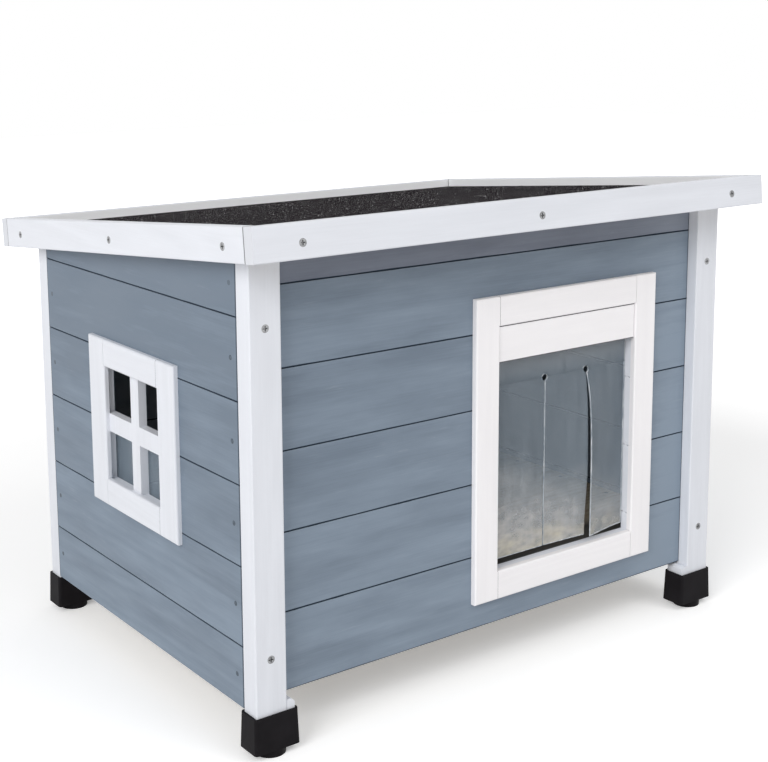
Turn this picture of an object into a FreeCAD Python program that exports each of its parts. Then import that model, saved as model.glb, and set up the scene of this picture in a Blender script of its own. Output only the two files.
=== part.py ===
"""Wooden cat house: board walls on four posts, a lifting roof tray and a slit flap door.

X runs along the front, Y from front to back and Z up, in millimetres.
The origin is on the ground, under the middle of the roof tray.
"""
import math
import os

import FreeCAD
import Part

V = FreeCAD.Vector

# Walls and posts
body_width = 554.5
body_depth = 407.0
post_width = 30.0
post_depth = 20.0
rabbet_width = 10.0
board_pitch = 70.0
board_thickness = 8.0
board_seam = 0.8
tongue_thickness = 2.6
tongue_height = 4.0
tongue_fit = 0.15
post_round = 1.2
front_wall_low = 48.0
side_wall_low = 39.3
side_first_course = 54.7
batten_size = 20.0

# Roof tray
roof_slope = 5.4
roof_front_low = 426.0
roof_front_overhang = 39.7
roof_back_overhang = 42.5
roof_side_overhang = 18.7
trim_height = 29.0
trim_thickness = 12.0
trim_round = 1.2
trim_joint = 0.4
deck_rise = 8.0
deck_thickness = 10.0
felt_thickness = 2.0
lid_gap = 0.3

# Doorway and its slit flap
door_centre_x = 79.6
door_sill = 99.8
door_width = 176.5
door_height = 233.5
door_member = 27.5
door_proud = 6.0
door_round = 1.6
frame_joint = 0.3
flap_rail_height = 34.8
flap_rail_recess = 2.0
flap_rail_round = 1.5
flap_header_drop = 25.5
flap_header_margin = 7.0
flap_thickness = 1.2
flap_side_gap = 1.0
flap_bottom_gap = 6.0
flap_slit = 1.0
flap_hinge_play = 0.3
flap_strip_width = 53.8
flap_relief_radius = 3.2

# Window in the left wall
window_centre_z = 233.9
window_width = 104.4
window_height = 109.7
window_stile = 31.3
window_rail = 26.0
window_proud = 5.0
window_round = 2.0
window_upright = 15.5
window_crossbar = 17.5
window_side_rebate = 5.0
window_end_rebate = 1.5
pane_thickness = 2.0
pane_margin = 9.0

# Floor
floor_top = 88.0
floor_thickness = 10.0
floor_board_pitch = 73.0
floor_gap = 0.5
cleat_size = 20.0

# Foot caps and leg packers
pad_radius = 13.5
pad_height = 6.0
cap_floor = 3.5
cap_wall = 2.0
cap_gap = 0.4
cap_rim_gap = 1.8
cap_flare = 1.0
cap_corner = 3.0
packer_width = 7.5
packer_gap = 2.0
packer_chamfer = 3.0

# Roof hinges
hinge_length = 26.0
leaf_width = 16.0
leaf_thickness = 1.5
knuckle_radius = 3.0
knuckle_gap = 0.4
hinge_pin_radius = 1.5
hinge_pin_fit = 0.05
hinge_pin_head = 0.8

# Fasteners
nail_radius = 0.9
nail_length = 20.0
end_nail_length = 16.0
nail_head_radius = 2.2
nail_head_height = 0.8
flap_nail_length = 10.0
flap_nail_inset = 35.0
pane_nail_length = 8.0
screw_radius = 1.75
screw_head_radius = 3.5
screw_head_height = 2.4
screw_slot = 0.9
screw_slot_depth = 1.0
screw_slot_share = 0.62
post_screw_length = 34.0
post_screw_drop = 8.0
trim_screw_length = 24.0
trim_screw_end = 45.4
hinge_screw_length = 9.0
hinge_screw_radius = 1.1
hinge_screw_head_radius = 2.1
hinge_screw_head_height = 1.1
hinge_screw_inset = 6.0
fastener_fit = 0.05

# Places that follow from the sizes above
slope = math.radians(roof_slope)
roof_run = (roof_front_overhang + body_depth + roof_back_overhang) / math.cos(slope)
roof_half_width = body_width / 2 + roof_side_overhang
roof_front_y = -(roof_run * math.cos(slope) + trim_height * math.sin(slope)) / 2
front_y = roof_front_y + roof_front_overhang
back_y = front_y + body_depth
left_x = -body_width / 2
right_x = body_width / 2
front_inner_y = front_y + post_depth
back_inner_y = back_y - post_depth
front_face_y = front_inner_y - board_thickness
back_face_y = back_inner_y + board_thickness
left_inner_x = left_x + board_thickness
right_inner_x = right_x - board_thickness
post_bottom = pad_height + cap_floor
middle_y = (front_y + back_y) / 2
door_top = door_sill + door_height
door_left = door_centre_x - door_width / 2
door_right = door_centre_x + door_width / 2
window_low = window_centre_z - window_height / 2
window_high = window_centre_z + window_height / 2
window_front_y = middle_y - window_width / 2
window_back_y = middle_y + window_width / 2
hole_low = window_low - window_end_rebate
hole_high = window_high + window_end_rebate
hole_front_y = window_front_y - window_side_rebate
hole_back_y = window_back_y + window_side_rebate
flap_rail_low = door_top - flap_rail_height
flap_hinge_z = flap_rail_low - flap_header_drop
flap_front_y = front_inner_y - flap_thickness
flap_header_high = door_top - flap_header_margin
flap_header_low = flap_hinge_z + flap_thickness / 2 + flap_hinge_play
wall_high = roof_front_low + trim_height
cut_size = 4 * (body_width + body_depth + wall_high)


def block(x0, x1, y0, y1, z0, z1):
    """Solid box between two corners."""
    return Part.makeBox(x1 - x0, y1 - y0, z1 - z0, V(x0, y0, z0))


def mirrored(shape):
    """The same shape on the other side of the house."""
    return shape.mirror(V(0, 0, 0), V(1, 0, 0))


def cut_all(shape, tools):
    """Shape less each tool in turn."""
    for tool in tools:
        if shape.BoundBox.intersect(tool.BoundBox):
            shape = shape.cut(tool)
    return shape


def group(solids):
    """Separate solids that share one node."""
    return Part.makeCompound(solids)


def save(name, shape):
    """Write one node."""
    shape.exportStep(os.path.join("parts", name + ".step"))


def on_roof(shape):
    """Carry a shape from the flat roof drawing (Y up the run, Z off the deck) to its sloping place."""
    shape.rotate(V(0, 0, 0), V(1, 0, 0), -roof_slope)
    shape.translate(V(0, roof_front_y, roof_front_low))
    return shape


def roof_point(run, rise):
    """Y and Z of a point of the flat roof drawing."""
    y = roof_front_y + run * math.cos(slope) + rise * math.sin(slope)
    z = roof_front_low - run * math.sin(slope) + rise * math.cos(slope)
    return y, z


def runs_along(edge, direction):
    """Whether a straight edge runs along a direction."""
    return abs(edge.tangentAt(edge.FirstParameter).dot(V(*direction))) > 0.999


def lies_on(edge, axis, value):
    """Whether an edge lies on a plane square to an axis."""
    return all(abs(getattr(v, axis) - value) < 1e-6 for v in edge.Vertexes)


def under_roof():
    """Everything at and above the deck's underside, which trims the tops of walls and posts."""
    low = deck_rise - lid_gap
    return on_roof(block(-cut_size, cut_size, -cut_size, cut_size, low, low + cut_size))


def aimed(shape, tip, direction):
    """Turn a fastener drawn along -Z from its head at the origin to a place and driving direction."""
    turn = FreeCAD.Rotation(V(0, 0, -1), V(*direction))
    shape.Placement = FreeCAD.Placement(V(*tip), turn)
    return shape


def nail(length, grow=0.0):
    """Flat-headed nail with its head's top at the origin; grow gives the hole that it fills."""
    height = nail_head_height + grow
    head = Part.makeCylinder(nail_head_radius + grow, height, V(0, 0, -height))
    shank = Part.makeCylinder(nail_radius + grow, length + grow, V(0, 0, -length - grow))
    return head.fuse(shank).removeSplitter()


def countersunk(length, shank, head, height, grow=0.0):
    """Countersunk screw body with its head's top at the origin."""
    cone = Part.makeCone(shank + grow, head + grow, height, V(0, 0, -height))
    stem = Part.makeCylinder(shank + grow, length + grow, V(0, 0, -length - grow))
    return cone.fuse(stem).removeSplitter()


def screw(length, shank, head, height):
    """Countersunk screw with a cross recess."""
    body = countersunk(length, shank, head, height)
    arm = screw_slot_share * head
    for x, y in ((arm, screw_slot / 2), (screw_slot / 2, arm)):
        body = body.cut(block(-x, x, -y, y, -screw_slot_depth, screw_slot_depth))
    return body


class Fasteners:
    """Fasteners of one node, with the holes that their pieces need."""

    def __init__(self):
        self.solids = []
        self.holes = []

    def add_nail(self, tip, direction, length):
        """One nail, driven from the tip of its head."""
        self.solids.append(aimed(nail(length), tip, direction))
        self.holes.append(aimed(nail(length, fastener_fit), tip, direction))

    def add_screw(self, tip, direction, length, sizes):
        """One screw, driven from the tip of its head."""
        self.solids.append(aimed(screw(length, *sizes), tip, direction))
        self.holes.append(aimed(countersunk(length, *sizes, grow=fastener_fit), tip, direction))


wood_screw = (screw_radius, screw_head_radius, screw_head_height)
leaf_screw = (hinge_screw_radius, hinge_screw_head_radius, hinge_screw_head_height)


def courses(low, first, high):
    """Bottom and top heights of the board courses from low up to high."""
    edges = [low, low + first]
    while edges[-1] < high:
        edges.append(edges[-1] + board_pitch)
    return list(zip(edges[:-1], edges[1:]))


def roof_height(y):
    """Height of the deck's underside above a point on the ground."""
    y0, z0 = roof_point(0, deck_rise)
    return z0 - (y - y0) * math.tan(slope)


def place_nails(nails):
    """Nails of the walls, the floor and the flap's header."""
    for low, high in courses(side_wall_low, side_first_course, roof_height(front_inner_y)):
        for y in (front_inner_y + batten_size / 2, back_inner_y - batten_size / 2):
            z = (low + min(high, roof_height(y))) / 2
            nails.add_nail((left_x, y, z), (1, 0, 0), nail_length)
            nails.add_nail((right_x, y, z), (-1, 0, 0), nail_length)
    inset = post_width - rabbet_width / 2
    for inner, direction in ((front_inner_y, -1), (back_inner_y, 1)):
        for low, high in courses(front_wall_low, board_pitch, roof_height(inner)):
            z = (low + min(high, roof_height(inner))) / 2
            for x in (left_x + inset, right_x - inset):
                nails.add_nail((x, inner, z), (0, direction, 0), end_nail_length)
    for y0, y1 in floor_strips():
        y = (max(y0, front_inner_y + batten_size) + min(y1, back_inner_y - batten_size)) / 2
        for x in (left_inner_x + cleat_size / 2, right_inner_x - cleat_size / 2):
            nails.add_nail((x, y, floor_top), (0, 0, -1), nail_length)
    z = (flap_rail_low + flap_header_high) / 2
    for share in (-1, 0, 1):
        x = door_centre_x + share * (door_width / 2 - flap_nail_inset)
        nails.add_nail((x, front_inner_y, z), (0, -1, 0), flap_nail_length)
    half = pane_margin / 2
    for y in (hole_front_y - half, hole_back_y + half):
        for z in (hole_low - half, window_centre_z - half):
            nails.add_nail((left_inner_x + pane_thickness, y, z), (-1, 0, 0), pane_nail_length)


def place_post_screws(screws):
    """Two screws through each post into its corner batten, just under two seams and clear of the nails."""
    x = post_width / 2
    seams = [high for low, high in courses(side_wall_low, side_first_course, roof_height(back_inner_y))]
    for z in (seams[0] - post_screw_drop, seams[-2] - post_screw_drop):
        for side in (left_x + x, right_x - x):
            screws.add_screw((side, front_y, z), (0, 1, 0), post_screw_length, wood_screw)
            screws.add_screw((side, back_y, z), (0, -1, 0), post_screw_length, wood_screw)


def place_trim_screws(screws):
    """Three screws through each trim board into the edge of the deck, on the flat roof drawing."""
    rise = deck_rise + deck_thickness / 2
    across = roof_half_width - trim_screw_end
    for x in (-across, 0, across):
        screws.add_screw((x, 0, rise), (0, 1, 0), trim_screw_length, wood_screw)
        screws.add_screw((x, roof_run, rise), (0, -1, 0), trim_screw_length, wood_screw)
    along = roof_run / 2 - trim_screw_end
    for run in (roof_run / 2 - along, roof_run / 2, roof_run / 2 + along):
        screws.add_screw((-roof_half_width, run, rise), (1, 0, 0), trim_screw_length, wood_screw)
        screws.add_screw((roof_half_width, run, rise), (-1, 0, 0), trim_screw_length, wood_screw)


def place_leaf_screws(post, roof):
    """Two screws in each hinge leaf: the post's in place, the roof's on the flat roof drawing."""
    reach = hinge_length / 2 - hinge_screw_inset
    _, z, run = hinge_axis()
    for centre in hinge_centres():
        for x in (centre - reach, centre + reach):
            on_post = (x, back_y + leaf_thickness, z - leaf_middle())
            on_deck = (x, run + leaf_middle(), deck_rise - leaf_thickness)
            post.add_screw(on_post, (0, -1, 0), hinge_screw_length, leaf_screw)
            roof.add_screw(on_deck, (0, 0, 1), hinge_screw_length, leaf_screw)


def hinge_axis():
    """Y and Z of the roof hinges' axis, and its run on the flat roof drawing."""
    reach = knuckle_radius + knuckle_gap
    y = back_y + reach
    drop = deck_rise - reach
    run = (y - roof_front_y - drop * math.sin(slope)) / math.cos(slope)
    return y, roof_point(run, drop)[1], run


def leaf_middle():
    """Distance from the hinge axis to the middle of a leaf's plate."""
    return (knuckle_radius + knuckle_gap + leaf_width) / 2


def hinge_centres():
    """X of the two hinges, on the middles of the back posts."""
    return (left_x + post_width / 2, right_x - post_width / 2)


def hinge_leaf(mine):
    """Leaf that hangs down from an axis along X at the origin, plate on the -Y side.

    mine lists the thirds of the length that hold this leaf's knuckles.
    """
    third = hinge_length / 3
    start = -hinge_length / 2
    reach = knuckle_radius + knuckle_gap
    plate = block(start, -start, -reach, leaf_thickness - reach, -leaf_width, -reach)
    for k in mine:
        x0 = start + k * third + (knuckle_gap / 2 if k else 0)
        x1 = start + (k + 1) * third - (knuckle_gap / 2 if k < 2 else 0)
        barrel = Part.makeCylinder(knuckle_radius, x1 - x0, V(x0, 0, 0), V(1, 0, 0))
        plate = plate.fuse(barrel).fuse(block(x0, x1, -reach, leaf_thickness - reach, -reach, 0))
    bore = hinge_pin_radius + hinge_pin_fit
    return plate.removeSplitter().cut(Part.makeCylinder(bore, hinge_length, V(start, 0, 0), V(1, 0, 0)))


def make_posts(tools):
    """Four posts, rabbeted for the ends of the front and back boards."""
    x1 = left_x + post_width
    x0 = x1 - rabbet_width
    front_rabbet = block(x0, x1, front_face_y, front_inner_y, front_wall_low, wall_high)
    back_rabbet = block(x0, x1, back_inner_y, back_face_y, front_wall_low, wall_high)
    front = eased_post(x1, front_y, front_inner_y).cut(front_rabbet)
    back = eased_post(x1, back_inner_y, back_y).cut(back_rabbet)
    for place, post in (("front", front), ("back", back)):
        save("post_" + place + "_left", cut_all(post, tools))
        save("post_" + place + "_right", cut_all(mirrored(post), tools))


def eased_post(x1, y0, y1):
    """Plain left-hand post with rounded upright edges."""
    post = block(left_x, x1, y0, y1, post_bottom, wall_high)
    return post.makeFillet(post_round, [edge for edge in post.Edges if runs_along(edge, (0, 0, 1))])


def make_end_wall(name, y0, y1, tools):
    """Front or back wall: board courses that stand in the posts' rabbets."""
    inset = post_width - rabbet_width
    high = max(roof_height(y0), roof_height(y1))
    outline = (left_x + inset, right_x - inset, y0, y1)
    make_boards(name, outline, courses(front_wall_low, board_pitch, high), tools)


def make_side_wall(name, x0, x1, tools):
    """Left or right wall: board courses between the posts, cut to the slope at the top."""
    outline = (x0, x1, front_inner_y, back_inner_y)
    high = roof_height(front_inner_y)
    make_boards(name, outline, courses(side_wall_low, side_first_course, high), tools)


def make_boards(name, outline, rows, tools):
    """Boards of one wall: each has a tongue that stands in the groove of the board above."""
    slim = (board_thickness - tongue_thickness) / 2
    for number, (low, high) in enumerate(rows, 1):
        top = high if number == len(rows) else high - board_seam
        board = block(*outline, low, top)
        if number < len(rows):
            board = board.fuse(wall_core(outline, slim, top, high + tongue_height)).removeSplitter()
        if number > 1:
            groove = wall_core(outline, slim - tongue_fit, low, low + tongue_height + tongue_fit)
            board = board.cut(groove)
        save(name + "_board_" + str(number), cut_all(board, tools))


def wall_core(outline, slim, low, high):
    """Middle of a wall's thickness, thinner than the wall by slim on each face."""
    x0, x1, y0, y1 = outline
    if x1 - x0 > y1 - y0:
        return block(x0, x1, y0 + slim, y1 - slim, low, high)
    return block(x0 + slim, x1 - slim, y0, y1, low, high)


def make_battens(tools):
    """Square battens in the four inner corners."""
    solids = []
    for y in (front_inner_y, back_inner_y - batten_size):
        batten = block(left_inner_x, left_inner_x + batten_size, y, y + batten_size, side_wall_low, wall_high)
        solids += [cut_all(batten, tools), cut_all(mirrored(batten), tools)]
    save("corner_battens", group(solids))


def floor_strips():
    """Front and back edges of the floor boards."""
    y0 = front_inner_y + floor_gap
    y1 = back_inner_y - floor_gap
    count = max(2, round((y1 - y0) / floor_board_pitch))
    step = (y1 - y0) / count
    return [(y0 + k * step, y0 + (k + 1) * step) for k in range(count)]


def make_floor(holes):
    """Floor boards, notched round the corner battens, on a cleat along each side wall."""
    corner = batten_size + floor_gap
    low = floor_top - floor_thickness
    notches = []
    for x in (left_inner_x, right_inner_x - corner):
        for y in (front_inner_y, back_inner_y - corner):
            notches.append(block(x, x + corner, y, y + corner, low, floor_top))
    solids = []
    for y0, y1 in floor_strips():
        board = block(left_inner_x + floor_gap, right_inner_x - floor_gap, y0, y1, low, floor_top)
        solids.append(cut_all(board, notches + holes))
    save("floor_boards", group(solids))
    cleat = block(left_inner_x, left_inner_x + cleat_size, front_inner_y + batten_size,
                  back_inner_y - batten_size, low - cleat_size, low)
    save("floor_cleats", group([cut_all(cleat, holes), cut_all(mirrored(cleat), holes)]))


def make_door_frame():
    """Stiles and rails round the doorway, on the face of the front boards."""
    y0 = front_face_y - door_proud
    x0 = door_left - door_member
    x1 = door_right + door_member
    low = door_sill - door_member
    high = door_top + door_member
    ring = block(x0, x1, y0, front_face_y, low, high)
    ring = ring.cut(block(door_left, door_right, y0, front_face_y, door_sill, door_top))
    ring = ring.makeFillet(door_round, [edge for edge in ring.Edges if lies_on(edge, "Y", y0)])
    rail0 = door_left + frame_joint
    rail1 = door_right - frame_joint
    save("door_stile_left", ring.common(block(x0, door_left, y0, front_face_y, low, high)))
    save("door_stile_right", ring.common(block(door_right, x1, y0, front_face_y, low, high)))
    save("door_top_rail", ring.common(block(rail0, rail1, y0, front_face_y, door_top, high)))
    save("door_bottom_rail", ring.common(block(rail0, rail1, y0, front_face_y, low, door_sill)))


def make_flap(holes):
    """Flap rail, the clear sheet's fixed header and its three hanging strips."""
    y0 = front_face_y - door_proud + flap_rail_recess
    rail = block(door_left, door_right, y0, flap_front_y, flap_rail_low, door_top)
    rail = rail.makeFillet(flap_rail_round, [edge for edge in rail.Edges if lies_on(edge, "Y", y0)])
    save("flap_rail", cut_all(rail, holes))
    x0 = door_left + flap_side_gap
    x1 = door_right - flap_side_gap
    slits = (x1 - 2 * flap_strip_width, x1 - flap_strip_width)
    depth = 2 * board_thickness
    reliefs = [Part.makeCylinder(flap_relief_radius, depth, V(x, front_face_y, flap_hinge_z), V(0, 1, 0))
               for x in slits]
    header = block(x0, x1, flap_front_y, front_inner_y, flap_header_low, flap_header_high)
    save("flap_header", cut_all(header, reliefs + holes))
    edges = (x0 - flap_slit / 2,) + slits + (x1 + flap_slit / 2,)
    for name, left, right in zip(("left", "middle", "right"), edges[:-1], edges[1:]):
        strip = flap_strip(left + flap_slit / 2, right - flap_slit / 2)
        save("flap_strip_" + name, cut_all(strip, reliefs))


def flap_strip(x0, x1):
    """One strip that hangs straight down, its top edge round about the line that it bends on."""
    high = flap_hinge_z
    low = door_sill + flap_bottom_gap
    half = flap_thickness / 2
    bead = Part.makeCylinder(half, x1 - x0, V(x0, flap_front_y + half, high), V(1, 0, 0))
    return block(x0, x1, flap_front_y, front_inner_y, low, high).fuse(bead).removeSplitter()


def make_window(holes):
    """Frame on the left wall's face, cross in its thickness, and pane inside over the two lower lights."""
    x0 = left_x - window_proud
    y0 = window_front_y - window_stile
    y1 = window_back_y + window_stile
    low = window_low - window_rail
    high = window_high + window_rail
    ring = block(x0, left_x, y0, y1, low, high)
    ring = ring.cut(block(x0, left_x, window_front_y, window_back_y, window_low, window_high))
    ring = ring.makeFillet(window_round, [edge for edge in ring.Edges if lies_on(edge, "X", x0)])
    rail0 = window_front_y + frame_joint
    rail1 = window_back_y - frame_joint
    save("window_stile_front", ring.common(block(x0, left_x, y0, window_front_y, low, high)))
    save("window_stile_back", ring.common(block(x0, left_x, window_back_y, y1, low, high)))
    save("window_top_rail", ring.common(block(x0, left_x, rail0, rail1, window_high, high)))
    save("window_bottom_rail", ring.common(block(x0, left_x, rail0, rail1, low, window_low)))
    save("window_cross", group(cross_bars()))
    pane = block(left_inner_x, left_inner_x + pane_thickness, hole_front_y - pane_margin,
                 hole_back_y + pane_margin, hole_low - pane_margin, window_centre_z)
    save("window_pane", cut_all(pane, holes))


def cross_bars():
    """Upright and level bar of the window, halved into each other, with their ends behind the frame."""
    across = (middle_y - window_upright / 2, middle_y + window_upright / 2)
    level = (window_centre_z - window_crossbar / 2, window_centre_z + window_crossbar / 2)
    lap = left_x + board_thickness / 2
    upright_bar = block(left_x, left_inner_x, *across, hole_low, hole_high)
    level_bar = block(left_x, left_inner_x, hole_front_y, hole_back_y, *level)
    upright_bar = upright_bar.cut(block(lap, left_inner_x, *across, *level))
    level_bar = level_bar.cut(block(left_x, lap, *across, *level))
    return [upright_bar, level_bar]


def make_roof(screws):
    """Deck, felt and the four trim boards of the roof tray."""
    half = roof_half_width
    inner = half - trim_thickness
    run0 = trim_thickness
    run1 = roof_run - trim_thickness
    side0 = run0 + trim_joint
    side1 = run1 - trim_joint
    pieces = {
        "roof_deck": block(-inner, inner, run0, run1, deck_rise, deck_rise + deck_thickness),
        "roof_felt": block(-inner, inner, run0, run1, deck_rise + deck_thickness,
                           deck_rise + deck_thickness + felt_thickness),
        "roof_trim_front": eased_trim(-half, half, 0, run0, (1, 0, 0)),
        "roof_trim_back": eased_trim(-half, half, run1, roof_run, (1, 0, 0)),
        "roof_trim_left": eased_trim(-half, -inner, side0, side1, (0, 1, 0)),
        "roof_trim_right": eased_trim(inner, half, side0, side1, (0, 1, 0)),
    }
    for name, piece in pieces.items():
        save(name, on_roof(cut_all(piece, screws.holes)))
    save("roof_screws", group([on_roof(solid) for solid in screws.solids]))


def eased_trim(x0, x1, run0, run1, along):
    """Trim board with its long edges rounded, on the flat roof drawing."""
    trim = block(x0, x1, run0, run1, 0, trim_height)
    return trim.makeFillet(trim_round, [edge for edge in trim.Edges if runs_along(edge, along)])


def make_hinges(wall_holes, roof_holes):
    """Butt hinges between the back posts and the deck's underside."""
    y, z, run = hinge_axis()
    wall_leaves = []
    roof_leaves = []
    pins = []
    length = hinge_length + 2 * hinge_pin_head
    head_radius = (hinge_pin_radius + knuckle_radius) / 2
    for x in hinge_centres():
        wall = hinge_leaf((0, 2))
        wall.translate(V(x, y, z))
        wall_leaves.append(cut_all(wall, wall_holes))
        roof = hinge_leaf((1,))
        roof.rotate(V(0, 0, 0), V(1, 0, 0), 90)
        roof = roof.mirror(V(0, 0, 0), V(0, 0, 1))
        roof.translate(V(x, run, deck_rise - knuckle_radius - knuckle_gap))
        roof_leaves.append(on_roof(cut_all(roof, roof_holes)))
        pin = Part.makeCylinder(hinge_pin_radius, length, V(x - length / 2, y, z), V(1, 0, 0))
        for end in (x - length / 2, x + hinge_length / 2):
            pin = pin.fuse(Part.makeCylinder(head_radius, hinge_pin_head, V(end, y, z), V(1, 0, 0)))
        pins.append(pin.removeSplitter())
    save("hinge_wall_leaves", group(wall_leaves))
    save("hinge_roof_leaves", group(roof_leaves))
    save("hinge_pins", group(pins))


def make_feet():
    """Packers beside the posts' feet, and the moulded caps with a round pad under each."""
    x0 = left_x + post_width
    x1 = x0 + packer_width
    packers = []
    caps = []
    for y0, y1 in ((front_y, front_inner_y), (back_inner_y, back_y)):
        packer = block(x0, x1, y0, y1, post_bottom, front_wall_low - packer_gap)
        packer = packer.makeChamfer(packer_chamfer, top_inner_edge(packer, x1))
        cap = foot_cap(left_x, x1, y0, y1)
        packers += [packer, mirrored(packer)]
        caps += [cap, mirrored(cap)]
    save("leg_packers", group(packers))
    save("foot_caps", group(caps))


def top_inner_edge(packer, x):
    """The packer's top edge on the side away from its post."""
    top = packer.BoundBox.ZMax
    return [edge for edge in packer.Edges
            if all(abs(v.X - x) < 1e-6 and abs(v.Z - top) < 1e-6 for v in edge.Vertexes)]


def rounded_outline(x0, x1, y0, y1, radius, z):
    """Wire of a rectangle with round corners."""
    face = Part.Face(Part.makePolygon([V(x0, y0, z), V(x1, y0, z), V(x1, y1, z), V(x0, y1, z), V(x0, y0, z)]))
    solid = face.extrude(V(0, 0, 1))
    upright = [edge for edge in solid.Edges if abs(edge.Vertexes[0].Z - edge.Vertexes[1].Z) > 0.5]
    rounded = solid.makeFillet(radius, upright)
    bottom = [f for f in rounded.Faces if abs(f.CenterOfMass.z - z) < 1e-6]
    return bottom[0].OuterWire


def foot_cap(x0, x1, y0, y1):
    """Cap that a leg stands in: flared sides, round corners, a socket and a round pad."""
    rim = side_wall_low - cap_rim_gap
    wall = cap_wall + cap_gap
    flare = wall + cap_flare
    top = rounded_outline(x0 - wall, x1 + wall, y0 - wall, y1 + wall, cap_corner, rim)
    bottom = rounded_outline(x0 - flare, x1 + flare, y0 - flare, y1 + flare, cap_corner, pad_height)
    shell = Part.makeLoft([bottom, top], True, True)
    socket = block(x0 - cap_gap, x1 + cap_gap, y0 - cap_gap, y1 + cap_gap, post_bottom, rim)
    pad = Part.makeCylinder(pad_radius, pad_height, V((x0 + x1) / 2, (y0 + y1) / 2, 0))
    return shell.cut(socket).fuse(pad).removeSplitter()


def main():
    """Build every piece and write it out."""
    os.makedirs("parts", exist_ok=True)
    nails = Fasteners()
    post_screws = Fasteners()
    roof_screws = Fasteners()
    place_nails(nails)
    place_post_screws(post_screws)
    place_trim_screws(roof_screws)
    place_leaf_screws(post_screws, roof_screws)

    above = under_roof()
    doorway = block(door_left, door_right, front_y, front_inner_y, door_sill, door_top)
    opening = block(left_x, left_inner_x, hole_front_y, hole_back_y, hole_low, hole_high)
    tools = [above, doorway, opening] + nails.holes + post_screws.holes

    make_posts(tools)
    make_end_wall("front", front_face_y, front_inner_y, tools)
    make_end_wall("back", back_inner_y, back_face_y, tools)
    make_side_wall("left", left_x, left_inner_x, tools)
    make_side_wall("right", right_inner_x, right_x, tools)
    make_battens(tools)
    make_floor(nails.holes)
    make_door_frame()
    make_flap(nails.holes)
    make_window(nails.holes)
    make_roof(roof_screws)
    make_hinges(post_screws.holes, roof_screws.holes)
    make_feet()
    save("wall_nails", group(nails.solids))
    save("post_screws", group(post_screws.solids))


main()
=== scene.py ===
"""Looks of the wooden cat house: painted board walls, felted roof tray and clear slit flap.

Everything is in metres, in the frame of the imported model.
"""

import math
import random
from collections import namedtuple

import bpy
from mathutils import Matrix, Vector


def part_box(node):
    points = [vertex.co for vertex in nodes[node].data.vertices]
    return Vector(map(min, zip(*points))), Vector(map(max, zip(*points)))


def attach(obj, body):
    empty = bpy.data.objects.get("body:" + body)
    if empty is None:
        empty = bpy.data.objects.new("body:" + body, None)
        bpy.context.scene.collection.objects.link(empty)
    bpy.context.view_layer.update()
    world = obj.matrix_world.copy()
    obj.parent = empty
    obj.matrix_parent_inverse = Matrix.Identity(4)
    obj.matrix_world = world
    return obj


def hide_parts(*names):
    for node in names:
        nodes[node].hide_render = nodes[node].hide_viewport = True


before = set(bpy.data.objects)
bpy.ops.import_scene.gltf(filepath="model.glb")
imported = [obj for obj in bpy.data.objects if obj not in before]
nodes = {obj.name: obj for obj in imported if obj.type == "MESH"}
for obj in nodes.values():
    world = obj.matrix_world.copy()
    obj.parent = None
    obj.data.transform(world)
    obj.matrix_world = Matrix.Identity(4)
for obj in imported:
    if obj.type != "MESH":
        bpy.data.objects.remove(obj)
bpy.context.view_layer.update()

MM = 0.001
AXES = {"X": 0, "Y": 1, "Z": 2}

# Camera
camera_place = Vector((-0.8557, -1.1626, 0.6090))
camera_heading = 36.65
camera_pitch = -9.513
camera_roll = -0.236
camera_lens = 67.55
camera_sensor = 36.0
camera_shift = -0.1576

# Stage and lamps
floor_size = 12.0
floor_colour = (0.93, 0.93, 0.93)
floor_near = 0.8
floor_far = 2.2
floor_lift = 0.30
ambient_strength = 0.47
background_strength = 1.0
lamp_target = (0.0, 0.0, 0.22)
key_place = (-4.5, -2.0, 3.0)
key_size = 3.0
key_power = 172.0
fill_place = (1.2, -3.0, 3.2)
fill_size = 2.2
fill_power = 42.0

# Paint, wood and the other finishes, as scene-linear colours
blue_dark = (0.148, 0.188, 0.240)
blue_light = (0.240, 0.296, 0.366)
# Painted shade: a darker, greyer stain for the front's top board, under the roof's overhang
overhang_shade_dark = (0.152, 0.172, 0.222)
overhang_shade_light = (0.242, 0.272, 0.335)
# Painted shade in the joints between boards and along the posts
gap_shade_dark = (0.028, 0.044, 0.066)
white_dark = (0.700, 0.716, 0.762)
white_light = (0.772, 0.790, 0.840)
warm_dark = (0.878, 0.858, 0.872)
warm_light = (0.932, 0.912, 0.924)
# Painted shade in joints, and in recesses of screw and nail heads
joint_shade_dark = (0.075, 0.075, 0.082)
end_grain = (0.655, 0.670, 0.712)
# Painted light on the inner faces of the back and right trims
tray_painted_light = (0.915, 0.920, 0.932)
pine_dark = (0.520, 0.410, 0.280)
pine_light = (0.830, 0.745, 0.600)
# Painted shade on the floor's front, behind the doorway's sill
floor_shade_dark = (0.085, 0.085, 0.088)
felt_dark = (0.0100, 0.0088, 0.0100)
felt_light = (0.0480, 0.0425, 0.0475)
felt_glint = (0.560, 0.545, 0.550)
chip_dark = (0.060, 0.058, 0.060)
chip_light = (0.520, 0.508, 0.515)
plastic_dark = (0.0080, 0.0070, 0.0082)
plastic_light = (0.0135, 0.0122, 0.0140)
pvc_film = (0.370, 0.445, 0.520)
# Pale colour of the film's streaks, and of its painted highlights and painted light
pvc_pale_and_highlight = (0.860, 0.880, 0.900)
pvc_scuff = (0.815, 0.790, 0.765)
pvc_warm = (0.930, 0.835, 0.640)
acrylic_tint = (0.280, 0.352, 0.425)
nail_dark = (0.038, 0.052, 0.070)
nail_light = (0.130, 0.165, 0.205)
steel_dark = (0.190, 0.193, 0.200)
steel_light = (0.400, 0.405, 0.412)

# Patterns: length of a feature along the grain, and its width across it
ring_size = (0.55, 0.045)
fibre_size = (0.060, 0.0011)
stain_cloud = (0.160, 0.034)
stain_wash = (0.085, 0.016)
stain_scuff = (0.050, 0.005)
paint_cloud = (0.120, 0.018)
pine_cloud = (0.200, 0.040)
film_streak = (0.090, 0.007)

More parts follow.
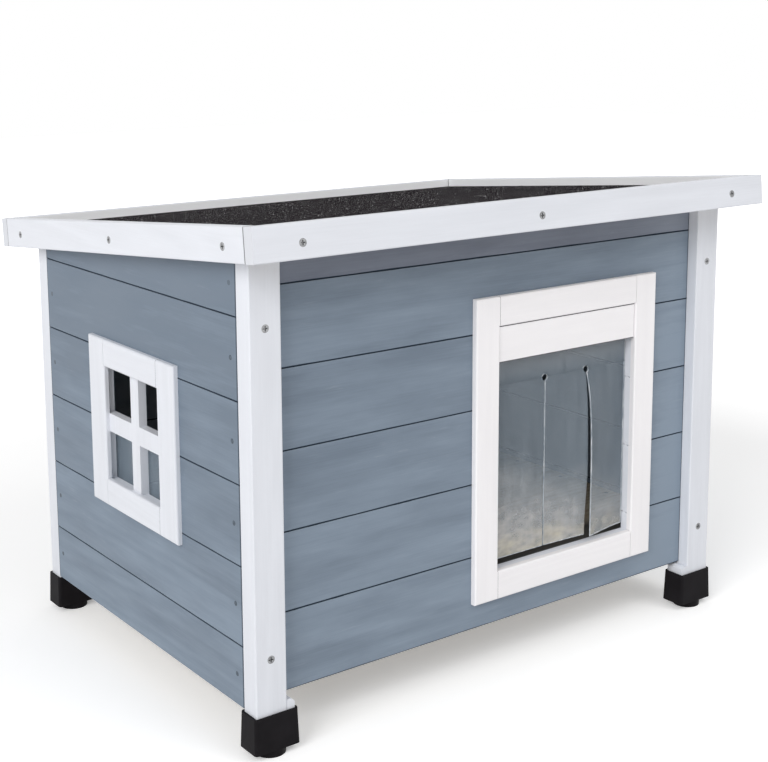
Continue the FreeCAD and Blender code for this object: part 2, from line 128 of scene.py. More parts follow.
# Patterns: features in a metre, on X, Y and Z
seam_wander = (22.0, 22.0, 22.0)
felt_grain = (1100.0, 1100.0, 1100.0)
felt_cloud = (28.0, 28.0, 28.0)
felt_crumb = (330.0, 330.0, 330.0)
felt_fleck = (170.0, 170.0, 170.0)
chip_tone = (260.0, 260.0, 260.0)
plastic_spark = (900.0, 900.0, 900.0)
plastic_cloud = (45.0, 45.0, 45.0)
steel_cloud = (600.0, 600.0, 600.0)
edge_cloud = (300.0, 300.0, 90.0)
scuff_patch = (28.0, 28.0, 42.0)
scuff_grain = (70.0, 70.0, 130.0)
scuff_blotch = (34.0, 34.0, 85.0)

# Noise: the span that its values mostly lie in, and how far an object's own draw moves it
noise_span = (0.3, 0.7)
noise_shift = (17.0, 29.0, 41.0)

# Depth of relief
grain_relief = 0.25 * MM
felt_relief = 0.6 * MM
plastic_relief = 0.2 * MM
steel_relief = 0.1 * MM

# How squarely a face looks along an axis, to count as an end or as a turned side
square_on = 0.9
turned_over = 0.3

# Boards
board_pitch = 70.0 * MM
course_heights = (60.0 * MM, 380.0 * MM)
# Painted light and shade by height: the stain's share at the lowest and at the highest of those heights
front_painted_height_shade = (0.22, -0.08)
side_painted_height_shade = (0.16, -0.46)
# Painted light: the front's stain grows paler towards its right end, between these places, up to this share
painted_right_light_reach = (165.0 * MM, 225.0 * MM)
front_painted_right_light = 0.55
front_seam = 48.0 * MM
side_seam = 94.0 * MM
# Painted shade in the joints between courses: how far it reaches from a seam, and into the tongues
seam_reach = (0.40 * MM, 0.85 * MM)
tongue_reach = 6.0 * MM
tongue_inset = 0.5 * MM
post_shade = 1.1 * MM
post_shade_share = 0.7

# Openings in the walls
frame_cover = 6.0 * MM
opening_depth = 30.0 * MM
inner_face_gap = 0.3 * MM

# Floor
# Painted shade on the floor's front: full as far back as the first depth, gone by the second
floor_shade_depth = (48.0 * MM, 66.0 * MM)
floor_shade_share = 0.92

# Roof tray
roof_slope = 5.4
# Painted shade in a thin line where the side trims butt against the long trims
trim_shade_line = 0.9 * MM
trim_shade_line_share = 0.75

# Grains of the felt that are pale, as limits on a draw for each grain
glint_limit = 0.965
fleck_draw = (0.60, 1.0)
fleck_radius = (0.0, 0.36)

# Coarse chips on the felt
chip_seed = 5
chip_count = 620
chip_corners = 4
chip_radius = (0.38 * MM, 0.74 * MM)
chip_rise = 1.7
chip_sink = 0.15 * MM
chip_margin = 2.0 * MM

# Foot caps
cap_weld = 0.01 * MM
cap_ease = 0.9 * MM
cap_segments = 3
cap_angle = 35.0

# Painted shade in recesses of screw and nail heads
recess_reach = 3.0 * MM
recess_span = (0.35, 0.75)

# Clear sheets
film_haze = (0.20, 0.27)
pane_haze = (0.32, 0.42)
streak_share = 0.06
# Painted highlight round the header's end holes: its alpha, how far a face turns from the sheet, and the gap
# left above the lower edge
rim_alpha = 0.8
rim_turn = 0.6
rim_clear = 0.15 * MM
# Painted light on the header under the rail: heights above its lower edge, paleness and added haze
under_rail_light_span = (2.0 * MM, 24.0 * MM)
under_rail_light_pale = 0.4
under_rail_light_haze = 0.08
scuff_haze = 0.25
scuff_top = 216.0 * MM
scuff_full = 126.0 * MM
scuff_ragged = 60.0 * MM
scuff_lean = 0.33
warm_heights = (168.0 * MM, 128.0 * MM)
warm_ragged = 80.0 * MM

# Strips of the flap; a curl is the free side, its depth and the share of it that is left at the bottom
relief_radius = 3.2 * MM
slit_half = 0.5 * MM
# Width of the band of painted highlight beside a strip's cut edges
edge_band = 0.6 * MM
strip_columns = 12
hole_rows = 8
rows_below = 40
crest_drop = 0.05 * MM
crest_half = 0.05 * MM
shoulder_drop = 0.4 * MM
bend_drop = 0.9 * MM
curl_rise = 28.0 * MM
curl_turn = 95.0 * MM
curl_end = 160.0 * MM
curl_power = 1.4
right_curl = (-1, 10.5 * MM, 0.95)
middle_curl = (1, 6.0 * MM, 0.40)

Wall = namedtuple("Wall", "axis across seam faces ends fade bleach opening")


class Surface:
    """A material with a Principled shader, and short calls for the nodes that feed it."""

    def __init__(self, name):
        self.material = bpy.data.materials.new(name)
        self.material.use_nodes = True
        self.tree = self.material.node_tree
        self.shader = self.tree.nodes["Principled BSDF"]
        self.coordinates = self.tree.nodes.new("ShaderNodeTexCoord")
        self.place = self.coordinates.outputs["Object"]

    def feed(self, socket, value):
        """Link a socket to an output, or set it to a constant."""
        if isinstance(value, bpy.types.NodeSocket):
            self.tree.links.new(value, socket)
        else:
            socket.default_value = value

    def set(self, **sockets):
        """Set or link the shader's own sockets; an underscore stands for a space."""
        for name, value in sockets.items():
            self.feed(self.shader.inputs[name.replace("_", " ")], value)

    def node(self, kind, *inputs, **properties):
        """New node with its first inputs filled in order."""
        made = self.tree.nodes.new(kind)
        for name, value in properties.items():
            setattr(made, name, value)
        for socket, value in zip(made.inputs, inputs):
            self.feed(socket, value)
        return made

    def math(self, operation, *inputs):
        """Output of one Math node."""
        return self.node("ShaderNodeMath", *inputs, operation=operation).outputs[0]

    def total(self, *values):
        """Sum of several outputs."""
        share = values[0]
        for value in values[1:]:
            share = self.math("ADD", share, value)
        return share

    def split(self, vector):
        """The three parts of a vector, by the names of the axes."""
        return self.node("ShaderNodeSeparateXYZ", vector).outputs

    def off_middle(self, value, span):
        """Distance of a value from the middle of a span."""
        return self.math("ABSOLUTE", self.math("SUBTRACT", value, sum(span) / 2))

    def ruled(self, scale):
        """Object coordinates, stretched, for a pattern that runs on from piece to piece."""
        return self.node("ShaderNodeMapping", self.place, (0, 0, 0), (0, 0, 0), scale).outputs[0]

    def scaled(self, scale):
        """Object coordinates, moved by a draw of the object's own and stretched."""
        draw = self.node("ShaderNodeObjectInfo").outputs["Random"]
        shift = self.node("ShaderNodeVectorMath", draw, noise_shift, operation="MULTIPLY").outputs[0]
        moved = self.node("ShaderNodeVectorMath", self.place, shift, operation="ADD").outputs[0]
        return self.node("ShaderNodeMapping", moved, (0, 0, 0), (0, 0, 0), scale).outputs[0]

    def noise(self, vector, detail=3.0, roughness=0.5):
        """Noise at the scale that its coordinates already have."""
        made = self.node("ShaderNodeTexNoise")
        self.feed(made.inputs["Vector"], vector)
        self.feed(made.inputs["Scale"], 1.0)
        self.feed(made.inputs["Detail"], detail)
        self.feed(made.inputs["Roughness"], roughness)
        return made.outputs[0]

    def ranged(self, value, low, high, new_low=0.0, new_high=1.0):
        """Value carried from one range to another, and held there."""
        return self.node("ShaderNodeMapRange", value, low, high, new_low, new_high).outputs[0]

    def spread(self, noise, low=0.0, high=1.0):
        """Noise carried from its usual span to a range."""
        return self.ranged(noise, *noise_span, low, high)

    def mix(self, factor, first, second):
        """Colour between two colours."""
        made = self.node("ShaderNodeMix", data_type="RGBA")
        self.feed(made.inputs[0], factor)
        self.feed(made.inputs[6], self.opaque(first))
        self.feed(made.inputs[7], self.opaque(second))
        return made.outputs[2]

    def opaque(self, colour):
        """Colour with its alpha, where it is a constant."""
        return colour if isinstance(colour, bpy.types.NodeSocket) else (*colour, 1.0)

    def bump(self, height, strength, distance):
        """Relief on the surface, from a height in shares of distance."""
        made = self.node("ShaderNodeBump")
        self.feed(made.inputs["Strength"], strength)
        self.feed(made.inputs["Distance"], distance)
        self.feed(made.inputs["Height"], height)
        self.set(Normal=made.outputs[0])


def along(axis, length, width):
    """Scale of a pattern whose features are that long on one axis and that wide on the others."""
    scale = [1.0 / width] * 3
    scale[AXES[axis]] = 1.0 / length
    return tuple(scale)


def wood_figure(surface, axis, rings):
    """Flowing growth-ring lines and fine fibres of a board that runs along an axis."""
    broad = surface.noise(surface.scaled(along(axis, *ring_size)), 1.5, 0.45)
    lines = surface.math("PINGPONG", surface.math("MULTIPLY", broad, rings), 0.5)
    figure = surface.ranged(lines, 0.0, 0.5)
    fibre = surface.noise(surface.scaled(along(axis, *fibre_size)), 4.0, 0.6)
    return figure, fibre


def wood_relief(surface, figure, fibre, rings_share, strength):
    """Faint relief of the grain through paint."""
    rings = surface.ranged(figure, 0, 1, 0.0, rings_share)
    height = surface.math("ADD", surface.ranged(fibre, 0.25, 0.75), rings)
    surface.bump(height, strength, grain_relief)


def inside_opening(surface, spans):
    """One inside a box, and zero elsewhere."""
    place = surface.split(surface.place)
    inside = None
    for axis, (low, high) in spans.items():
        near = surface.math("LESS_THAN", surface.off_middle(place[axis], (low, high)), (high - low) / 2)
        inside = near if inside is None else surface.math("MULTIPLY", inside, near)
    return inside


def near_seam(surface, wall):
    """One where painted shade goes: in the joints between board courses and on the tongues in them; zero on
    the boards' faces.
    """
    place = surface.split(surface.place)
    shifted = surface.math("SUBTRACT", place["Z"], wall.seam)
    off_seam = surface.math("PINGPONG", shifted, board_pitch / 2)
    uneven = surface.noise(surface.ruled(seam_wander))
    joint = surface.math("LESS_THAN", off_seam, surface.spread(uneven, *seam_reach))
    depth = (wall.faces[1] - wall.faces[0]) / 2 - tongue_inset
    inside = surface.math("LESS_THAN", surface.off_middle(place[wall.across], wall.faces), depth)
    tongue = surface.math("MULTIPLY", inside, surface.math("LESS_THAN", off_seam, tongue_reach))
    return surface.math("MAXIMUM", joint, tongue)


def near_posts(surface, wall):
    """One in a thin line where the boards meet the posts, zero elsewhere."""
    place = surface.split(surface.place)[wall.axis]
    reach = (wall.ends[1] - wall.ends[0]) / 2 - post_shade
    return surface.math("GREATER_THAN", surface.off_middle(place, wall.ends), reach)


def stain_share(surface, wall, cloud, figure, fibre):
    """Share of the paler stain: clouds, each board's own tone, painted light and shade by height (paler low
    down, darker high up), grain, and on the front painted light towards the right.
    """
    wash = surface.noise(surface.scaled(along(wall.axis, *stain_wash)), 3.0, 0.55)
    tone = surface.node("ShaderNodeObjectInfo").outputs["Random"]
    place = surface.split(surface.place)
    share = surface.total(
        surface.spread(cloud, -0.14, 0.50),
        surface.ranged(tone, 0, 1, 0.0, 0.10),
        surface.ranged(place["Z"], *course_heights, *wall.fade),
        surface.spread(wash, -0.08, 0.22),
        surface.ranged(figure, 0, 1, 0.0, 0.20),
        surface.spread(fibre, -0.08, 0.14))
    # painted light: paler towards the right end
    if wall.bleach:
        share = surface.total(share, surface.ranged(place["X"], *painted_right_light_reach, 0.0, wall.bleach))
    return share


def blue_paint(name, hue, wall):
    """Grey-blue stain over pine, thin enough to show the grain, with painted shade in the joints and along
    the posts; cut edges in an opening are white.
    """
    surface = Surface(name)
    figure, fibre = wood_figure(surface, wall.axis, rings=7.0)
    cloud = surface.noise(surface.scaled(along(wall.axis, *stain_cloud)), 4.0, 0.6)
    paint = surface.mix(stain_share(surface, wall, cloud, figure, fibre), *hue)
    scuff = surface.noise(surface.scaled(along(wall.axis, *stain_scuff)), 5.0, 0.65)
    paint = surface.mix(surface.ranged(scuff, 0.64, 0.80, 0.0, 0.12), paint, white_dark)
    # painted shade: the joints between courses, the tongues in them and a thin line along the posts are
    # painted near-black
    groove = near_seam(surface, wall)
    line = surface.math("MULTIPLY", near_posts(surface, wall), post_shade_share)
    paint = surface.mix(surface.math("MAXIMUM", groove, line), paint, gap_shade_dark)
    if wall.opening:
        paint = surface.mix(inside_opening(surface, wall.opening), paint, white_light)
    rough = surface.math("MAXIMUM", surface.spread(cloud, 0.50, 0.66), groove)
    surface.set(Base_Color=paint, Roughness=rough, Specular_IOR_Level=0.35)
    wood_relief(surface, figure, fibre, rings_share=0.6, strength=0.22)
    return surface.material


def facing(surface, way, limit):
    """One on the faces that look along an axis, or only down it where it has a minus, and zero elsewhere."""
    normal = surface.split(surface.coordinates.outputs["Normal"])[way[-1]]
    if way.startswith("-"):
        return surface.math("LESS_THAN", normal, -limit)
    return surface.math("GREATER_THAN", surface.math("ABSOLUTE", normal), limit)


def roof_ways():
    """The roof's own directions: across it, down its slope, and up from it."""
    slope = math.radians(roof_slope)
    across = Vector((1.0, 0.0, 0.0))
    down = Vector((0.0, math.cos(slope), -math.sin(slope)))
    up = Vector((0.0, math.sin(slope), math.cos(slope)))
    return across, down, up


def reach_of(name, way):
    """Lowest and highest place of a node's points along a direction."""
    reach = [vertex.co.dot(way) for vertex in nodes[name].data.vertices]
    return min(reach), max(reach)


def trim_ends(surface):
    """One in a thin line of painted shade at the two ends of a side trim, which butt against the long trims.
    """
    down = roof_ways()[1]
    low, high = reach_of("roof_trim_left", down)
    place = surface.node("ShaderNodeVectorMath", surface.place, tuple(down), operation="DOT_PRODUCT")
    middle = surface.off_middle(place.outputs["Value"], (low, high))
    return surface.math("GREATER_THAN", middle, (high - low) / 2 - trim_shade_line)


def white_paint(name, axis, dark, light, *ends, butted=False):
    """Opaque white paint with the wood's grain as a faint relief, and other colours on some faces: end
    grain, painted light, and painted shade in joints.
    """
    surface = Surface(name)
    figure, fibre = wood_figure(surface, axis, rings=9.0)
    cloud = surface.noise(surface.scaled(along(axis, *paint_cloud)), 3.0, 0.55)
    share = surface.total(
        surface.spread(cloud, 0.15, 0.75),
        surface.ranged(figure, 0, 1, -0.15, 0.15),
        surface.spread(fibre, -0.15, 0.15))
    paint = surface.mix(share, dark, light)
    for way, limit, colour in ends:
        paint = surface.mix(facing(surface, way, limit), paint, colour)
    if butted:
        # painted shade line at the butt joints
        line = surface.math("MULTIPLY", trim_ends(surface), trim_shade_line_share)
        paint = surface.mix(line, paint, joint_shade_dark)
    surface.set(Base_Color=paint, Roughness=surface.spread(cloud, 0.40, 0.54), Specular_IOR_Level=0.4)
    wood_relief(surface, figure, fibre, rings_share=0.9, strength=0.25)
    return surface.material


def bare_wood(name, axis, floor_shade=None):
    """Unpainted pine, with painted shade, if asked for, from its front edge back, fading out between two
    lines behind it.
    """
    surface = Surface(name)
    figure, fibre = wood_figure(surface, axis, rings=11.0)
    cloud = surface.noise(surface.scaled(along(axis, *pine_cloud)), 3.0, 0.55)
    share = surface.total(
        surface.ranged(figure, 0, 1, 0.25, 0.80),
        surface.spread(fibre, -0.15, 0.15),
        surface.spread(cloud, -0.15, 0.15))
    wood = surface.mix(share, pine_dark, pine_light)
    if floor_shade:
        depth = surface.split(surface.place)["Y"]
        wood = surface.mix(surface.ranged(depth, *floor_shade, floor_shade_share, 0.0), wood, floor_shade_dark)
    surface.set(Base_Color=wood, Roughness=surface.spread(fibre, 0.55, 0.70), Specular_IOR_Level=0.3)
    surface.bump(surface.math("ADD", figure, fibre), 0.25, grain_relief)
    return surface.material


def roof_felt():
    """Bitumen felt covered with fine mineral grains, a few of which catch the light."""
    surface = Surface("roof_felt_grains")
    grains = surface.node("ShaderNodeTexVoronoi", surface.scaled(felt_grain))
    hue = surface.split(grains.outputs["Color"])
    cloud = surface.noise(surface.scaled(felt_cloud), 4.0, 0.6)
    crumbs = surface.noise(surface.scaled(felt_crumb), 2.0, 0.6)
    share = surface.total(
        surface.ranged(hue["X"], 0, 1, 0.0, 0.5),
        surface.spread(cloud, -0.05, 0.35),
        surface.ranged(crumbs, 0.5, 0.72, 0.0, 0.7))
    flecks = surface.node("ShaderNodeTexVoronoi", surface.scaled(felt_fleck))
    pale = surface.split(flecks.outputs["Color"])["X"]
    radius = surface.ranged(pale, *fleck_draw, *fleck_radius)
    fleck = surface.math("LESS_THAN", flecks.outputs["Distance"], radius)
    glint = surface.math("MAXIMUM", surface.math("GREATER_THAN", hue["Y"], glint_limit), fleck)
    surface.set(Base_Color=surface.mix(glint, surface.mix(share, felt_dark, felt_light), felt_glint))
    surface.set(Roughness=surface.ranged(glint, 0, 1, 0.95, 0.30), Specular_IOR_Level=0.0)
    surface.bump(surface.math("SUBTRACT", 1.0, grains.outputs["Distance"]), 0.7, felt_relief)
    return surface.material


def felt_chips():
    """Pale stone of the felt's coarse chips."""
    surface = Surface("roof_felt_chips")
    tone = surface.noise(surface.ruled(chip_tone))
    surface.set(Base_Color=surface.mix(surface.spread(tone), chip_dark, chip_light))
    surface.set(Roughness=surface.spread(tone, 0.45, 0.65), Specular_IOR_Level=0.3)
    return surface.material


def black_plastic():
    """Moulded plastic with a fine spark texture."""
    surface = Surface("black_plastic_moulded")
    spark = surface.noise(surface.scaled(plastic_spark), 2.0, 0.5)
    cloud = surface.noise(surface.scaled(plastic_cloud), 3.0, 0.5)
    surface.set(Base_Color=surface.mix(surface.spread(cloud), plastic_dark, plastic_light))
    surface.set(Roughness=surface.spread(cloud, 0.46, 0.60), Specular_IOR_Level=0.06)
    surface.bump(spark, 0.18, plastic_relief)
    return surface.material


def scuffs(surface):
    """How far the flap is rubbed milky, more towards its lower edge and left side, and its colour there."""
    place = surface.split(surface.place)
    lean = surface.math("MULTIPLY_ADD", place["X"], scuff_lean, place["Z"])
    patch = surface.noise(surface.ruled(scuff_patch))
    ragged = surface.math("MULTIPLY_ADD", patch, scuff_ragged, lean)
    rubbed = surface.ranged(ragged, scuff_top + scuff_ragged / 2, scuff_full + scuff_ragged / 2)
    grain = surface.noise(surface.ruled(scuff_grain))
    milky = surface.math("MULTIPLY", rubbed, surface.spread(grain, 0.50, 1.0))
    blotch = surface.noise(surface.ruled(scuff_blotch))
    height = surface.math("MULTIPLY_ADD", blotch, warm_ragged, place["Z"])
    return milky, surface.mix(surface.ranged(height, *warm_heights), pvc_scuff, pvc_warm)


def film_look(surface, tint, haze):
    """Streaks in a clear sheet, its colour and how far it hides what is behind it."""
    streak = surface.noise(surface.scaled(along("Z", *film_streak)), 4.0, 0.6)
    colour = surface.mix(surface.spread(streak, 0.0, streak_share), tint, pvc_pale_and_highlight)
    surface.set(Roughness=surface.spread(streak, 0.10, 0.20), Specular_IOR_Level=0.3)
    return colour, surface.spread(streak, *haze)


def clear_film(name, tint, haze, rubbed):
    """Face of a clear plastic sheet: a faint uneven haze, and scuffs where it is rubbed."""
    surface = Surface(name)
    colour, alpha = film_look(surface, tint, haze)
    if rubbed:
        milky, rubbed_colour = scuffs(surface)
        colour = surface.mix(milky, colour, rubbed_colour)
        alpha = surface.math("MULTIPLY_ADD", milky, scuff_haze, alpha)
    surface.set(Base_Color=colour, Alpha=alpha)
    return surface.material


def cut_edge_highlight():
    """Cut edge of a clear sheet, painted bright as a highlight."""
    surface = Surface("clear_pvc_edge")
    cloud = surface.noise(surface.scaled(edge_cloud), 3.0, 0.5)
    surface.set(Base_Color=surface.mix(surface.spread(cloud), pvc_film, pvc_pale_and_highlight))
    surface.set(Alpha=surface.spread(cloud, 0.60, 0.85))
    surface.set(Roughness=surface.spread(cloud, 0.20, 0.32), Specular_IOR_Level=0.5)
    return surface.material


def header_film(haze):
    """Clear header: film on its faces, with painted light under the rail and painted highlights on the edges
    round the slits' end holes.
    """
    surface = Surface("clear_pvc_header")
    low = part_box("flap_header")[0].z
    height = surface.split(surface.place)["Z"]
    normal = surface.split(surface.coordinates.outputs["Normal"])["Y"]
    # painted highlight on the edges round the slits' end holes
    rim = surface.math("LESS_THAN", surface.math("ABSOLUTE", normal), rim_turn)
    rim = surface.math("MULTIPLY", rim, surface.math("GREATER_THAN", height, low + rim_clear))
    tint, film = film_look(surface, pvc_film, haze)
    # painted light under the rail, against the rail's shadow
    lift = surface.ranged(height, *[low + rise for rise in under_rail_light_span])
    tint = surface.mix(surface.math("MULTIPLY", lift, under_rail_light_pale), tint, pvc_pale_and_highlight)
    film = surface.math("MULTIPLY_ADD", lift, under_rail_light_haze, film)
    edge = surface.math("MULTIPLY", rim, rim_alpha - haze[1])
    surface.set(Base_Color=surface.mix(rim, tint, pvc_pale_and_highlight), Alpha=surface.math("ADD", film, edge))
    return surface.material


def zinc_steel(name, dark, light):
    """Zinc-plated steel, dulled unevenly, with painted shade in recesses."""
    surface = Surface(name)
    cloud = surface.noise(surface.scaled(steel_cloud), 3.0, 0.6)
    plate = surface.mix(surface.spread(cloud), dark, light)
    open_sky = surface.node("ShaderNodeAmbientOcclusion", samples=8)
    surface.feed(open_sky.inputs["Distance"], recess_reach)
    # painted shade where ambient occlusion finds a recess
    recess_shade = surface.ranged(open_sky.outputs["AO"], *recess_span, 1.0, 0.0)
    surface.set(Base_Color=surface.mix(recess_shade, plate, joint_shade_dark))
    surface.set(Metallic=1.0, Roughness=surface.spread(cloud, 0.28, 0.46))
    surface.bump(cloud, 0.1, steel_relief)
    return surface.material


def dress(material, *names):
    """Give one material to several CAD nodes."""
    for name in names:
        mesh = nodes[name].data
        mesh.materials.clear()
        mesh.materials.append(material)


def numbered(prefix):
    """Names of the nodes that start with a prefix."""
    return [name for name in nodes if name.startswith(prefix)]


def board_edges(first_stile, last_stile, across, through, board):
    """Box of the board edges in an opening: inside its frame's outline, short of the boards' inner face."""
    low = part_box(first_stile)[0]
    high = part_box(last_stile)[1]
    side = AXES[across]
    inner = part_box(board)[1][AXES[through]] - inner_face_gap
    return {
        across: (low[side] + frame_cover, high[side] - frame_cover),
        "Z": (low.z + frame_cover, high.z - frame_cover),
        through: (inner - opening_depth, inner)}


def wall_of(side, axis, across, seam, fade, bleach=0.0, opening=None):
    """What the stain on one wall's boards follows."""
    low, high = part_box(side + "_board_1")
    faces = (low[AXES[across]], high[AXES[across]])
    ends = (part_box("post_front_left")[1][AXES[axis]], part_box("post_back_right")[0][AXES[axis]])
    return Wall(axis, across, seam, faces, ends, fade, bleach, opening)


def dress_walls():
    """Stain on the boards of the four walls, with the front's top board greyer as painted shade under the
    roof's overhang.
    """
    doorway = board_edges("door_stile_left", "door_stile_right", "X", "Y", "front_board_1")
    window = board_edges("window_stile_front", "window_stile_back", "Y", "X", "left_board_1")
    walls = {
        "front": wall_of("front", "X", "Y", front_seam, front_painted_height_shade, front_painted_right_light, doorway),
        "back": wall_of("back", "X", "Y", front_seam, front_painted_height_shade),
        "left": wall_of("left", "Y", "X", side_seam, side_painted_height_shade, opening=window),
        "right": wall_of("right", "Y", "X", side_seam, side_painted_height_shade)}
    for side, wall in walls.items():
        dress(blue_paint("blue_paint_" + side, (blue_dark, blue_light), wall), *numbered(side + "_board_"))
    # painted shade under the roof's overhang on the front's top board
    dress(blue_paint("blue_paint_overhang_shade", (overhang_shade_dark, overhang_shade_light), walls["front"]), "front_board_6")


def dress_trim(side, axis, *ends, butted=False):
    """Paint on one of the roof tray's boards."""
    name = "roof_trim_" + side
    dress(white_paint("white_paint_" + name, axis, white_dark, white_light, *ends, butted=butted), name)


def dress_white_work():
    """Paint on posts, trim and frames, with the grain along each piece."""
    upright = white_paint("white_paint_upright", "Z", white_dark, white_light)
    dress(upright, *numbered("post_front_"), *numbered("post_back_"), "leg_packers")
    dress(upright, *numbered("window_stile_"), "window_cross")
    # painted shade: faces that sit in joints are painted near-black
    across_joint = ("X", square_on, joint_shade_dark)
    across_end = ("X", square_on, end_grain)
    deep_joint = ("Y", square_on, joint_shade_dark)
    deep = white_paint("white_paint_deep", "Y", white_dark, white_light, deep_joint)
    dress(deep, "window_top_rail", "window_bottom_rail")
    dress(white_paint("white_paint_across", "X", white_dark, white_light, across_end), "roof_trim_front")
    # painted light: the inner faces of the back and right trims are paler
    dress_trim("back", "X", across_end, ("-Y", square_on, tray_painted_light))
    dress_trim("left", "Y", deep_joint, butted=True)
    dress_trim("right", "Y", deep_joint, ("-X", square_on, tray_painted_light), butted=True)
    dress(white_paint("warm_paint_upright", "Z", warm_dark, warm_light), *numbered("door_stile_"))
    rails = white_paint("warm_paint_across", "X", warm_dark, warm_light, across_joint)
    dress(rails, "door_top_rail", "door_bottom_rail")
    # painted shade on the flap rail's top and bottom faces, in the gaps above and below it
    under = ("Z", turned_over, joint_shade_dark)
    dress(white_paint("warm_paint_clamp", "X", warm_dark, warm_light, across_joint, under), "flap_rail")


def dress_bare_wood():
    """Pine of the floor, battens, cleats and deck."""
    dress(bare_wood("bare_wood_upright", "Z"), "corner_battens")
    dress(bare_wood("bare_wood_across", "X"), "roof_deck")
    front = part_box("floor_boards")[0].y
    # painted shade on the floor's front, behind the doorway's sill
    floor_shade = [front + depth for depth in floor_shade_depth]
    dress(bare_wood("bare_wood_floor", "X", floor_shade), "floor_boards")
    dress(bare_wood("bare_wood_deep", "Y"), "floor_cleats")


def dress_the_rest():
    """Felt, feet, fixed clear sheets and metal."""
    dress(roof_felt(), "roof_felt")
    dress(black_plastic(), "foot_caps")
    dress(header_film(film_haze), "flap_header")
    dress(clear_film("clear_acrylic_pane", acrylic_tint, pane_haze, False), "window_pane")
    steel = zinc_steel("zinc_steel_plated", steel_dark, steel_light)
    dress(steel, "post_screws", "roof_screws", *numbered("hinge_"))
    dress(zinc_steel("zinc_steel_nails", nail_dark, nail_light), "wall_nails")


def add_piece(name, points, faces):
    """New object from points and faces, in the scene."""
    mesh = bpy.data.meshes.new(name)
    mesh.from_pydata(points, [], faces)
    piece = bpy.data.objects.new(name, mesh)
    bpy.context.scene.collection.objects.link(piece)
    return piece


def chip_points(draw, ways, spans, top):
    """Corners and the peak of one chip, at a drawn place on the felt."""
    across, down, up = ways
    radius = draw.uniform(*chip_radius)
    centre = across * draw.uniform(*spans[0]) + down * draw.uniform(*spans[1]) + up * (top - chip_sink)
    turn = draw.uniform(0.0, math.tau)
    points = []
    for corner in range(chip_corners):
        angle = turn + corner * math.tau / chip_corners
        points.append(centre + (across * math.cos(angle) + down * math.sin(angle)) * radius)
    return points + [centre + up * (radius * chip_rise)]


def make_chips():
    """Coarse mineral chips that stand out of the felt."""
    ways = roof_ways()
    spans = []
    for way in ways[:2]:
        low, high = reach_of("roof_felt", way)
        spans.append((low + chip_margin, high - chip_margin))
    top = reach_of("roof_felt", ways[2])[1]
    draw = random.Random(chip_seed)
    points = []
    faces = []
    for chip in range(chip_count):
        base = [len(points) + corner for corner in range(chip_corners)]
        points += chip_points(draw, ways, spans, top)
        peak = len(points) - 1
        faces += [(base[corner - 1], base[corner], peak) for corner in range(chip_corners)]
        faces.append(tuple(reversed(base)))
    chips = add_piece("felt_chips", points, faces)
    chips.data.materials.append(felt_chips())
    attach(chips, "roof")


def ease_feet():
    """Round the moulded edges of the foot caps."""
    caps = nodes["foot_caps"]
    weld = caps.modifiers.new("weld", "WELD")
    weld.merge_threshold = cap_weld
    ease = caps.modifiers.new("ease", "BEVEL")
    ease.width = cap_ease
    ease.segments = cap_segments
    ease.limit_method = "ANGLE"
    ease.angle_limit = math.radians(cap_angle)


def smooth(value, low, high):
    """Smooth step from zero at low to one at high."""
    share = min(max((value - low) / (high - low), 0.0), 1.0)
    return share * share * (3 - 2 * share)


def strip_curl(share, drop, curl):
    """How far a strip stands out, at a share of its width and a depth below the line that it bends on."""
    if not curl:
        return 0.0
    free_side, depth, kept = curl
    near_edge = share if free_side > 0 else 1 - share
    rise = 1 - math.exp(-max(drop, 0.0) / curl_rise)
    return depth * near_edge ** curl_power * rise * (1 - (1 - kept) * smooth(drop, curl_turn, curl_end))


def strip_edge(edge, drop, slit_side):
    """X of a strip's edge, cut back round the hole where the slit ends."""
    if not slit_side:
        return edge
    slit = edge - slit_side * slit_half
    reach = math.sqrt(max(relief_radius ** 2 - drop ** 2, 0.0)) if drop > 0 else relief_radius
    return slit + slit_side * max(slit_half, reach)


def strip_rows(bend, low):
    """Heights of a strip's rows below its bend: close together round the holes, wider below."""
    close = [bend - relief_radius * step / hole_rows for step in range(hole_rows + 1)]
    rest = low + edge_band - close[-1]
    below = [close[-1] + rest * step / rows_below for step in range(1, rows_below + 1)]
    return close + below + [low]


def strip_row(x0, x1):
    """X of the points across a strip: its two edges, and even steps between the bands beside them."""
    wide_part = x1 - x0 - 2 * edge_band
    inner = [x0 + edge_band + wide_part * step / strip_columns for step in range(strip_columns + 1)]
    return [x0] + inner + [x1]


def strip_points(low, high, middle, bend, rows, slits, curl):
    """Points of a strip, row by row: all of its front face, then all of its back."""
    points = []
    for face in (-1, 1):
        for z, half in rows:
            drop = bend - z
            x0 = strip_edge(low.x, drop, slits[0])
            x1 = strip_edge(high.x, drop, slits[1])
            for x in strip_row(x0, x1):
                out = strip_curl((x - low.x) / (high.x - low.x), drop, curl)
                points.append((x, middle + face * half - out, z))
    return points


def strip_faces(rows, right_edge):
    """Faces of a strip, each with whether it takes the painted highlight, as a cut edge or the band beside
    one.
    """
    wide = strip_columns + 3
    count = wide * rows
    faces = []
    for row in range(rows - 1):
        for column in range(wide - 1):
            a = row * wide + column
            quad = (a, a + wide, a + wide + 1, a + 1)
            band = column == 0 or (column == wide - 2 and right_edge) or row == rows - 2
            faces.append((quad, band and row > 1))
            faces.append((tuple(count + corner for corner in reversed(quad)), band and row > 1))
        left = row * wide
        right = left + wide - 1
        faces.append(((left, left + count, left + count + wide, left + wide), True))
        faces.append(((right + wide, right + count + wide, right + count, right), right_edge))
    for a in range(wide - 1):
        b = a + wide * (rows - 1)
        faces.append(((a, a + 1, a + 1 + count, a + count), False))
        faces.append(((b + count, b + 1 + count, b + 1, b), True))
    return faces


